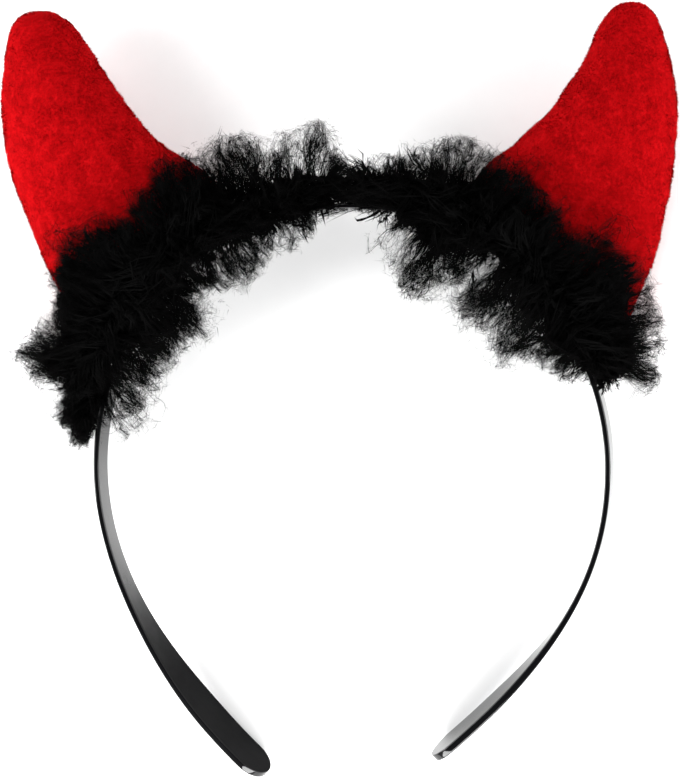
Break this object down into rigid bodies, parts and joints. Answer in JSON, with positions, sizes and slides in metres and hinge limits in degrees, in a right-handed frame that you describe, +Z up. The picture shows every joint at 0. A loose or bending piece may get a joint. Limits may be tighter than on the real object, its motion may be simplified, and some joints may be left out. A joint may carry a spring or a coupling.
{
  "type": "devil horns headband",
  "caption": "Costume headpiece: a glossy plastic hair band with stuffed red plush devil horns and black marabou feather trim along the crown and round the horn bases.",
  "frame": {"origin": "middle of the footprint, on the surface that the headpiece lies on", "axes": "+X across the band, +Y from the leg ends towards the horn tips, +Z up from the surface, which is the wearer's front"},
  "size_m": [0.1721, 0.1941, 0.0319],
  "materials": {
    "black_plastic": "injection-moulded polystyrene, glossy black",
    "red_plush": "short-pile polyester plush, mottled nap",
    "black_marabou": "dyed marabou down, matte and fluffy"
  },
  "bodies": {
    "root": {"headband": "black_plastic", "horn_left": "red_plush", "horn_right": "red_plush", "feather_trim": "black_marabou"}
  },
  "joints": []
}
